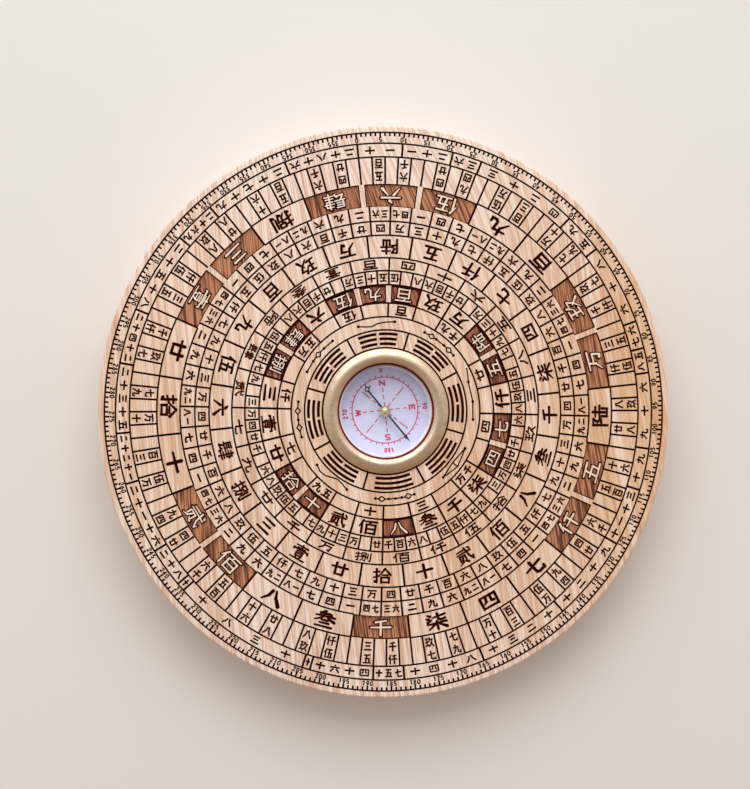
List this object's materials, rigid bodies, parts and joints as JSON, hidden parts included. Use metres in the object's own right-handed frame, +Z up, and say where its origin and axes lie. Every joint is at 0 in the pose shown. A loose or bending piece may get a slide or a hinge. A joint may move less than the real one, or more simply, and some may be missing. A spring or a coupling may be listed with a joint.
{
  "type": "feng shui compass",
  "caption": "Round wooden dial plate with engraved rings, sunk dark panels and trigrams, and a gold-rimmed magnetic needle capsule at its centre.",
  "frame": {"origin": "centre of the disc's flat underside", "axes": "+Z up along the disc's and the needle's axis, out of the dial face; +Y towards the ring mark 0; +X towards the ring mark 90"},
  "size_m": [0.15, 0.15, 0.017],
  "materials": {
    "wood": "sanded satin, engraved marks burnt dark",
    "bezel_gold": "satin champagne gold",
    "red_seal": "smooth",
    "lens_glass": "polished clear",
    "white_plastic": "moulded satin",
    "dial_white": "printed card, satin",
    "cup_metal": "drawn, plain",
    "pivot_brass": "turned",
    "pin_steel": "ground point",
    "needle_black": "black oxide",
    "jewel": "polished"
  },
  "bodies": {
    "plate": {"wood_disc": "wood", "bezel_ring": "bezel_gold", "seal_ring": "red_seal", "cover_lens": "lens_glass", "spacer_ring": "white_plastic", "dial_card": "dial_white", "capsule_cup": "cup_metal", "pivot_foot": "pivot_brass", "pivot_pin": "pin_steel"},
    "needle": {"needle_blade": "needle_black", "needle_cap": "pivot_brass", "cap_jewel": "jewel"}
  },
  "joints": [
    {"name": "needle_spin", "type": "hinge", "parent": "plate", "child": "needle", "pos_m": [0, 0, 0.0126], "axis": [0, 0, 1], "continuous": true}
  ]
}
